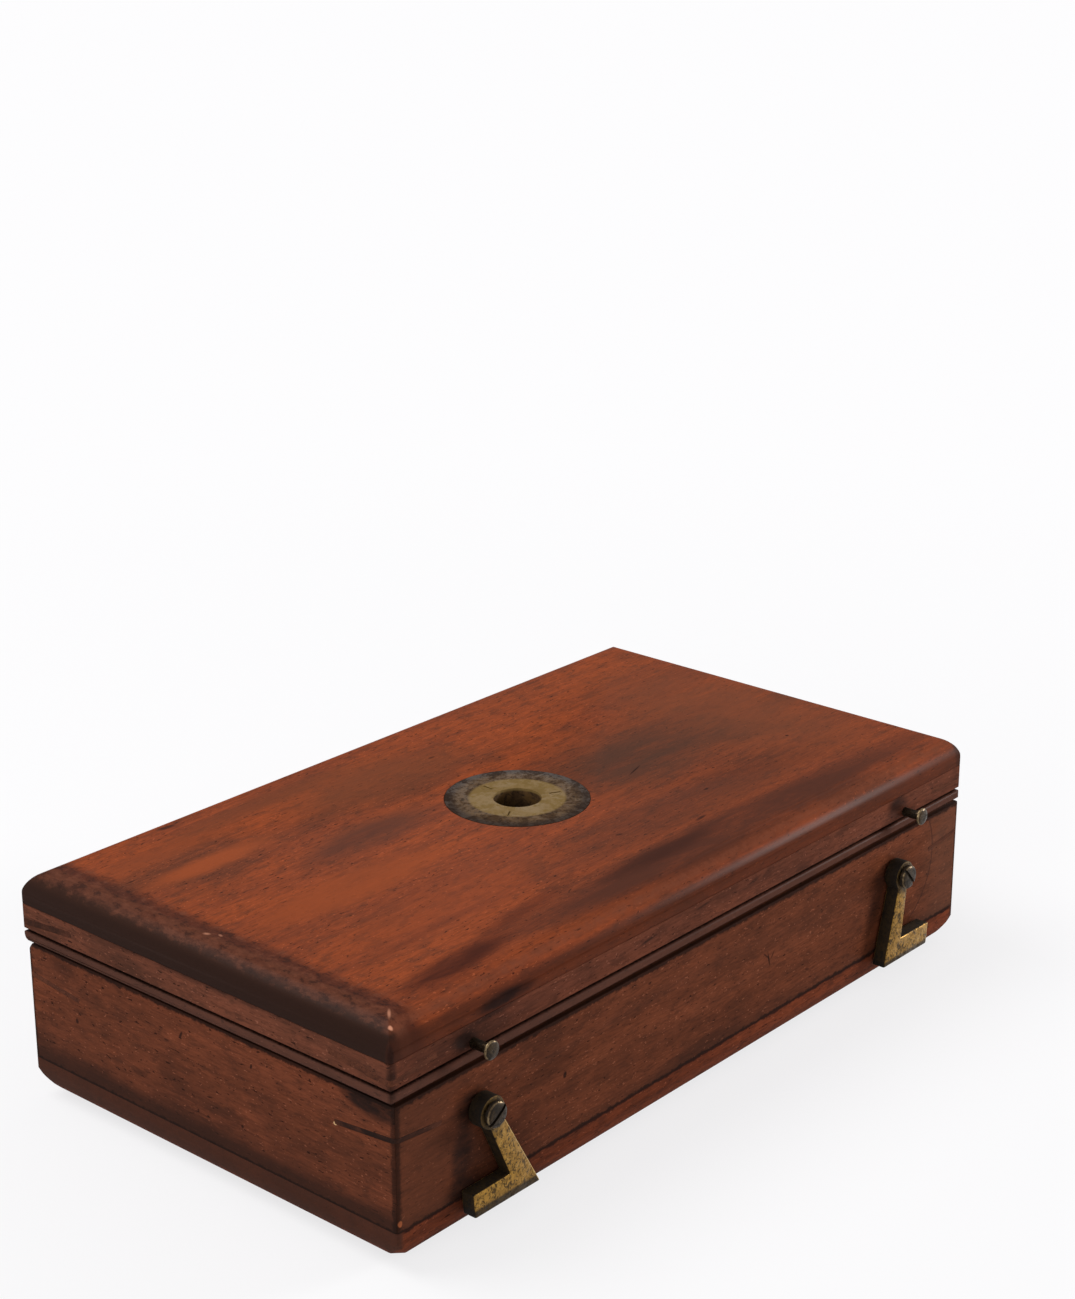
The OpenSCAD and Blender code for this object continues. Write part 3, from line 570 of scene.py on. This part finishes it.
colour = tint(tree, times(tree, shaded_round_end, 0.85), colour, paint(40, 25, 20))
# Its polish has crazed: lighter crumbs and black crust along the worn strip
crazed = cloud(tree, stretched(tree, where, (1.5, 2.8, 1.5), (2, 2, 8)), 5.0, 0.72)
strip = times(tree, fade(tree, along, -71.0 * mm, -74.0 * mm), fade(tree, axes[2], 41.5 * mm, 42.6 * mm))
colour = tint(tree, times(tree, strip, fade(tree, crazed, 0.5, 0.64, 0, 0.4)), colour, paint(116, 68, 50))
colour = tint(tree, times(tree, strip, fade(tree, crazed, 0.48, 0.36, 0, 0.7)), colour, paint(42, 24, 19))
# The front round: a painted highlight over rubbed polish along its upper half, and painted shade along its
# lower one
front = fade(tree, axes[1], -41.0 * mm, -42.6 * mm)
rubbed_highlight_front = times(tree, front, fade(tree, axes[2], 41.6 * mm, 42.4 * mm))
rubbed_highlight_front = times(tree, rubbed_highlight_front, fade(tree, rubbed, 0.35, 0.65, 0.3, 0.75))
colour = tint(tree, rubbed_highlight_front, colour, paint(114, 63, 44))
shaded_low_front = fade(tree, axes[2], 42.0 * mm, 41.0 * mm)
shaded_low_front = times(tree, fade(tree, axes[1], -43.2 * mm, -44.2 * mm), shaded_low_front)
colour = tint(tree, times(tree, shaded_low_front, 0.75), colour, paint(64, 33, 22))
# Knocks: a pale chip on the near corner, dark nicks and two scratches
colour = stain(
    tree,
    where,
    colour,
    [
        ((-54.5, -44.2, 38.9), (9.0, 3, 1.7), (0, -2, 0), 1.0, 0.6),
        ((24.5, -7.0, 43.6), (3.6, 0.28, 1), (0, 0, 17), 0.9, 0.7),
        ((14.5, -30.4, 43.6), (2.4, 0.5, 1), (0, 0, 6), 0.8, 0.7),
        ((-1.0, -24.0, 43.6), (1.0, 0.5, 1), (0, 0, -20), 0.8, 0.7),
        ((4.0, 26.5, 43.6), (1.2, 0.5, 1), (0, 0, 0), 0.75, 0.7),
        ((-51.5, 39.4, 43.6), (2.6, 0.9, 1), (0, 0, -8), 0.85, 0.7),
        ((58.0, -18.2, 43.6), (0.6, 0.45, 1), (0, 0, 0), 0.85, 0.7),
        ((26.0, -22.8, 43.6), (1.0, 0.4, 1), (0, 0, 4), 0.75, 0.7),
        ((-33.0, 18.0, 43.6), (0.8, 0.3, 1), (0, 0, 0), 0.6, 0.7),
        ((-80.5, -44.4, 39.0), (1.0, 1.0, 3.4), (0, 0, 0), 0.85, 0.7),
    ],
    paint(36, 20, 16),
)
colour = stain(
    tree,
    where,
    colour,
    [
        ((-78.6, -42.6, 42.4), (0.5, 0.5, 1.5), (0, 0, 0), 1.0, 0.6),
        ((-76.6, -40.4, 43.4), (1.8, 0.4, 0.8), (0, 0, 45), 0.6, 0.8),
        ((-76.2, 1.4, 43.4), (0.5, 1.0, 0.8), (0, 0, 20), 0.5, 0.8),
        ((-75.2, -0.8, 43.4), (0.4, 0.8, 0.8), (0, 0, -15), 0.5, 0.8),
    ],
    paint(206, 142, 112),
)
polish(tree, colour, relief, 0.4, coat=0.08)
eased("lid_board", 0.25, "lid", lid_finish)
eased("lid_corner_keys", 0.05, "lid", key_finish, steps=1)


# Lid pad
# A card covered with velvet over a little wadding, pushed up into the lid. It
# swells to a low crown and draws in at its edges.
low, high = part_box("lid_pad")
middle, size = (low + high) / 2, high - low
bpy.ops.object.select_all(action="DESELECT")
bpy.ops.mesh.primitive_cube_add(size=1, location=middle, scale=(size.x - 0.6 * mm, size.y - 0.6 * mm, size.z))
pad = bpy.context.active_object
pad.name = "velvet_lid_pad"
bpy.ops.object.transform_apply(location=True, rotation=True, scale=True)
bpy.ops.object.mode_set(mode="EDIT")
bpy.ops.mesh.subdivide(number_cuts=40)
bpy.ops.object.mode_set(mode="OBJECT")
for vertex in pad.data.vertices:
    u = (vertex.co.x - middle.x) / (size.x / 2)
    v = (vertex.co.y - middle.y) / (size.y / 2)
    if vertex.co.z < high.z - 0.3 * mm:
        depth = (high.z - vertex.co.z) / size.z
        crown = (1 - abs(u) ** 5) * (1 - abs(v) ** 5)
        pucker = 0.12 * mm * math.sin(31 * u + 5 * v) * math.sin(17 * v + 1.3) * (abs(u) ** 3 + abs(v) ** 3)
        vertex.co.z = high.z - depth * (1.5 * mm + 1.8 * mm * crown**0.5) + pucker * depth
soft = pad.modifiers.new("soft", "SUBSURF")
soft.levels = soft.render_levels = 1
bpy.ops.object.modifier_apply(modifier="soft")
bpy.ops.object.shade_smooth()
pad.data.materials.append(green_velvet)
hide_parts("lid_pad")
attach(pad, "lid")


# Pillar socket
# A turned brass plate let in flush with the lid, tapped for the pillar and held
# by three small screws. It has gone dull and brown, darkest round its rim.
def old_brass(name, bright, dull, dirt, rough=0.42, pits=1.0, grain=1.0):
    finish, tree, where = new_finish(name)
    patina = cloud(tree, stretched(tree, where, (2.2 * grain,) * 3), 5.0, 0.7, 0.5)
    mottle = cloud(tree, stretched(tree, where, (0.6 * grain,) * 3, (3, 3, 3)), 3.0, 0.7)
    pit = fade(tree, cloud(tree, stretched(tree, where, (0.42 * grain,) * 3, (7, 1, 2)), 2.0, 0.6), 0.6, 0.68)
    colour = tint(tree, fade(tree, patina, 0.38, 0.6), paint(*bright), paint(*dull))
    colour = tint(tree, fade(tree, mottle, 0.5, 0.68, 0, 0.8), colour, paint(*dirt))
    colour = tint(tree, times(tree, pit, 0.8 * pits), colour, toned(dirt, 0.5))
    tarnish = fade(tree, maths(tree, "ADD", patina, times(tree, mottle, 0.5)), 0.6, 0.95)
    return finish, tree, where, colour, tarnish, maths(tree, "SUBTRACT", mottle, pit), rough


def close_brass(tree, colour, tarnish, relief, rough, metal=(0.95, 0.5), depth=0.06):
    rough = fade(tree, tarnish, 0, 1, rough * 0.8, min(1.0, rough * 1.7))
    metallic = fade(tree, tarnish, 0, 1, *metal)
    bump = node(tree, "ShaderNodeBump", {"Height": relief, "Strength": 0.5, "Distance": depth * mm})
    values = {
        "Base Color": colour,
        "Roughness": rough,
        "Metallic": metallic,
        "Specular IOR Level": 0.12,
        "Normal": bump.outputs[0],
    }
    shader = node(tree, "ShaderNodeBsdfPrincipled", values)
    node(tree, "ShaderNodeOutputMaterial", {"Surface": shader.outputs[0]})


plate_finish, tree, where, colour, tarnish, relief, rough = old_brass(
    "socket_patina", (88, 64, 36), (62, 43, 25), (38, 26, 17), 0.6, pits=0.8, grain=1.6
)
centred = node(tree, "ShaderNodeMapping", {"Vector": where, "Location": (0, -1 * mm, 0)}).outputs[0]
axes = axes_of(tree, centred)
squares = maths(tree, "ADD", times(tree, axes[0], axes[0]), times(tree, axes[1], axes[1]))
out = maths(tree, "SQRT", squares)
colour = tint(tree, fade(tree, out, 10.6 * mm, 12.8 * mm, 0, 0.85), colour, paint(34, 22, 15))
seat = times(tree, fade(tree, out, 9.4 * mm, 8.6 * mm), fade(tree, axes[2], 42.9 * mm, 43.3 * mm))
colour = tint(tree, times(tree, seat, 0.6), colour, paint(136, 110, 62))
rings = node(tree, "ShaderNodeCombineXYZ", {0: times(tree, out, 2600.0)}).outputs[0]
turned = cloud(tree, rings)
relief = maths(tree, "ADD", relief, times(tree, turned, 0.6))
close_brass(tree, colour, tarnish, relief, rough, metal=(0.2, 0.05))
eased("socket_plate", 0.12, "lid", plate_finish)
eased("socket_screws", 0.08, "lid", plate_finish)


# Studs
# Two turned brass studs driven into the lid's front rail, with a collar on the
# neck and a domed head that the hooks pass behind. Dark, rubbed on the rims.
dark_finish, tree, where, colour, tarnish, relief, rough = old_brass(
    "tarnished_brass", (64, 52, 38), (38, 31, 24), (21, 17, 14), 0.38, pits=0.7, grain=0.8
)
close_brass(tree, colour, tarnish, relief, rough)
rim_finish, tree, where, colour, tarnish, relief, rough = old_brass(
    "rubbed_rim_brass", (126, 108, 80), (84, 68, 48), (46, 37, 28), 0.34, pits=0.4, grain=0.8
)
close_brass(tree, colour, tarnish, relief, rough)
wall_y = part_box("lid_front_rail")[0].y


def turned_piece(name, x, z, profile, steps=40):
    # Spins a profile of (out from the wall, radius) pairs, in mm, about the axis
    mesh = bpy.data.meshes.new(name)
    piece = bpy.data.objects.new(name, mesh)
    bpy.context.scene.collection.objects.link(piece)
    points = [(x, wall_y - out * mm, z + radius * mm) for out, radius in profile]
    mesh.from_pydata(points, [(i, i + 1) for i in range(len(points) - 1)], [])
    bpy.ops.object.select_all(action="DESELECT")
    piece.select_set(True)
    bpy.context.view_layer.objects.active = piece
    bpy.ops.object.mode_set(mode="EDIT")
    bpy.ops.mesh.select_all(action="SELECT")
    bpy.ops.mesh.spin(steps=steps, angle=math.tau, center=(x, wall_y, z), axis=(0, 1, 0))
    bpy.ops.mesh.select_all(action="SELECT")
    bpy.ops.mesh.remove_doubles(threshold=0.002 * mm)
    bpy.ops.mesh.normals_make_consistent(inside=False)
    bpy.ops.object.mode_set(mode="OBJECT")
    bpy.ops.object.shade_smooth_by_angle(angle=math.radians(40))
    return piece


stud_profile = [
    (-5.0, 0), (-5.0, 0.7), (-4.6, 0.9), (0.0, 0.9), (3.42, 0.86), (3.52, 1.1), (3.6, 1.5),
    (3.72, 1.65), (3.96, 1.65), (4.14, 1.5), (4.25, 1.1), (4.3, 0.6), (4.3, 0),
]
for side in ("left", "right"):
    low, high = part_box(side + "_stud")
    stud = turned_piece(side + "_stud_turned", (low.x + high.x) / 2, (low.z + high.z) / 2, stud_profile)
    stud.data.materials.append(dark_finish)
    stud.data.materials.append(rim_finish)
    for face in stud.data.polygons:
        out = math.hypot(face.center.x - (low.x + high.x) / 2, face.center.z - (low.z + high.z) / 2)
        face.material_index = int(out > 1.42 * mm)
    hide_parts(side + "_stud")
    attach(stud, "lid")


# Hook screws
# A shouldered brass screw for each hook: the shank in the front wall, and a
# cheese head with a filed slot, domed a little and worn at its rim.
for side, turn in (("left", 35), ("right", -50)):
    low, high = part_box(side + "_hook_screw")
    x, z = (low.x + high.x) / 2, (low.z + high.z) / 2
    head = 3.25
    profile = [
        (-5.5, 0), (-5.5, 0.9), (-5.0, 1.3), (head, 1.3), (head, 2.1), (head + 0.12, 2.3),
        (head + 0.7, 2.3), (head + 0.92, 2.12), (head + 1.04, 1.7), (head + 1.1, 1.0), (head + 1.1, 0),
    ]
    screw = turned_piece(side + "_hook_screw_turned", x, z, profile, steps=48)
    bpy.ops.object.select_all(action="DESELECT")
    bpy.ops.mesh.primitive_cube_add(
        size=1, location=(x, wall_y - (head + 1.1) * mm, z), rotation=(0, math.radians(-turn), 0),
        scale=(8 * mm, 1.0 * mm, 0.62 * mm),
    )
    file_cut = bpy.context.active_object
    slot_cut = screw.modifiers.new("slot", "BOOLEAN")
    slot_cut.operation = "DIFFERENCE"
    slot_cut.solver = "EXACT"
    slot_cut.object = file_cut
    bpy.context.view_layer.objects.active = screw
    bpy.ops.object.modifier_apply(modifier="slot")
    bpy.data.objects.remove(file_cut)
    screw.data.materials.clear()
    screw.data.materials.append(dark_finish)
    screw.data.materials.append(rim_finish)
    for face in screw.data.polygons:
        out = math.hypot(face.center.x - x, face.center.z - z)
        face.material_index = int(out > 2.05 * mm and face.center.y < wall_y - (head + 0.6) * mm)
    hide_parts(side + "_hook_screw")
    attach(screw, "base")


# Hooks
# Two hooks filed from flat brass bar. Their faces are rubbed to mottled gold,
# and their edges are painted nearly black as tarnish and shade, with a painted highlight along the outer
# arris.
hook_finish, tree, where, colour, tarnish, relief, rough = old_brass(
    "hook_gold", (160, 121, 55), (136, 101, 45), (54, 40, 22), 0.42, pits=1.0
)
pitted = cloud(tree, stretched(tree, where, (0.9, 0.9, 1.3), (1, 5, 2)), 4.0, 0.7, 0.6)
colour = tint(tree, fade(tree, pitted, 0.52, 0.6, 0, 0.85), colour, paint(46, 34, 19))
colour = tint(tree, fade(tree, pitted, 0.4, 0.3, 0, 0.6), colour, paint(200, 162, 86))
# Round the screws the lacquer has kept its dirt, and the hooks are darker along the foot
colour = stain(
    tree,
    where,
    colour,
    [
        ((-61.0, -47.6, 22.15), (4.8, 4, 4.8), (0, 0, 0), 0.85, 0.5),
        ((56.8, -47.6, 22.66), (4.8, 4, 4.8), (0, 0, 0), 0.85, 0.5),
    ],
    paint(38, 30, 19),
)
axes = axes_of(tree, where)
height = maths(tree, "ADD", axes[2], times(tree, pitted, 1.0 * mm))
colour = tint(tree, fade(tree, height, 7.1 * mm, 6.4 * mm, 0, 0.9), colour, paint(34, 26, 17))
# Faces turned away from the front are painted near black, as tarnish and shade, and a painted highlight runs
# along the outer arris
normal = axes_of(tree, node(tree, "ShaderNodeTexCoord").outputs["Normal"])
tarnished_shaded_side = fade(tree, maths(tree, "ABSOLUTE", normal[1]), 0.75, 0.5)
colour = tint(tree, times(tree, tarnished_shaded_side, 0.95), colour, paint(20, 15, 12))
arris_highlight = times(tree, fade(tree, normal[0], 0.25, 0.5), fade(tree, normal[1], -0.3, -0.6))
colour = tint(tree, times(tree, arris_highlight, 0.7), colour, paint(196, 164, 104))
tarnish = maths(tree, "MAXIMUM", tarnish, tarnished_shaded_side)
close_brass(tree, colour, tarnish, relief, rough, metal=(0.75, 0.25))
for side in ("left", "right"):
    eased(side + "_hook", 0.3, side + "_hook", hook_finish)


# Hinges
# Two brass butt hinges let into the back, each with a steel-hard drawn pin and
# four slotted screws. They show only as knuckles until the lid is lifted.
hinge_finish, tree, where, colour, tarnish, relief, rough = old_brass(
    "hinge_brass", (140, 110, 60), (100, 78, 46), (54, 42, 28), 0.42, pits=0.8
)
close_brass(tree, colour, tarnish, relief, rough)
for side in ("left", "right"):
    eased(side + "_hinge_base_leaf", 0.12, "base", hinge_finish)
    eased(side + "_hinge_pin", 0.15, "base", hinge_finish)
    eased(side + "_hinge_lid_leaf", 0.12, "lid", hinge_finish)
eased("hinge_base_screws", 0.06, "base", hinge_finish)
eased("hinge_lid_screws", 0.06, "lid", hinge_finish)


# Studio
# A pale floor under the case and three lamps: a strong one low on the right, a
# broad one above and behind, and a soft one on the left, in a white surround.
bpy.ops.object.select_all(action="DESELECT")
bpy.ops.mesh.primitive_circle_add(vertices=96, radius=8, fill_type="NGON", location=(0, 0, -0.02 * mm))
floor = bpy.context.active_object
floor.name = "studio_floor"
floor_paint, tree, where = new_finish("pale_floor")
plain = node(tree, "ShaderNodeBsdfDiffuse", {"Color": (0.9, 0.9, 0.905, 1)})
glow = node(tree, "ShaderNodeEmission", {"Color": (0.985, 0.98, 0.99, 1), "Strength": 1.0})
path = node(tree, "ShaderNodeLightPath").outputs
seen = maths(tree, "MAXIMUM", path["Is Camera Ray"], path["Is Glossy Ray"])
seen = maths(tree, "MAXIMUM", seen, path["Is Transmission Ray"])
away = node(tree, "ShaderNodeVectorMath", {0: where}, operation="LENGTH").outputs["Value"]
share = times(tree, seen, fade(tree, away, 0.1, 0.42, 0.76, 1.0))
blend = node(tree, "ShaderNodeMixShader", {0: share, 1: plain.outputs[0], 2: glow.outputs[0]})
node(tree, "ShaderNodeOutputMaterial", {"Surface": blend.outputs[0]})
floor.data.materials.append(floor_paint)

world = bpy.data.worlds.new("studio_air")
bpy.context.scene.world = world
world.use_nodes = True
world.node_tree.nodes.clear()
path = node(world.node_tree, "ShaderNodeLightPath").outputs
seen = maths(world.node_tree, "MAXIMUM", path["Is Camera Ray"], path["Is Glossy Ray"])
seen = maths(world.node_tree, "MAXIMUM", seen, path["Is Transmission Ray"])
level = fade(world.node_tree, seen, 0, 1, 0.38, 1.0)
air = node(world.node_tree, "ShaderNodeBackground", {"Color": (0.985, 0.98, 0.99, 1), "Strength": level})
node(world.node_tree, "ShaderNodeOutputWorld", {"Surface": air.outputs[0]})


def soft_lamp(name, place, aim, size, power):
    lamp = bpy.data.lights.new(name, "AREA")
    lamp.shape = "DISK"
    lamp.size = size
    lamp.energy = power
    holder = bpy.data.objects.new(name, lamp)
    holder.location = place
    holder.rotation_mode = "QUATERNION"
    holder.rotation_quaternion = (Vector(aim) - Vector(place)).to_track_quat("-Z", "Y")
    bpy.context.scene.collection.objects.link(holder)


soft_lamp("key", (1.04, -0.66, 0.3), (0, 0, 0.02), 0.35, 11)
soft_lamp("top", (-0.35, 0.5, 1.0), (0, 0, 0.03), 0.8, 8.0)
soft_lamp("fill", (-1.2, -0.3, 0.5), (0, 0, 0.02), 0.8, 4.0)

# Camera
# It stands where the photographer's did, worked out from the case's own edges.
camera = bpy.data.cameras.new("camera")
camera.lens = 71.11
camera.sensor_width = 36
holder = bpy.data.objects.new("camera", camera)
bpy.context.scene.collection.objects.link(holder)
bpy.context.scene.camera = holder
turn, rise, roll = (math.radians(a) for a in (-48.968, 19.446, -0.085))
back = Vector((math.sin(turn) * math.cos(rise), -math.cos(turn) * math.cos(rise), math.sin(rise)))
holder.location = (-0.32714, -0.28868, 0.22678)
holder.rotation_mode = "QUATERNION"
holder.rotation_quaternion = (-back).to_track_quat("-Z", "Y") @ Quaternion((0, 0, 1), roll)
bpy.context.scene.view_settings.view_transform = "Standard"
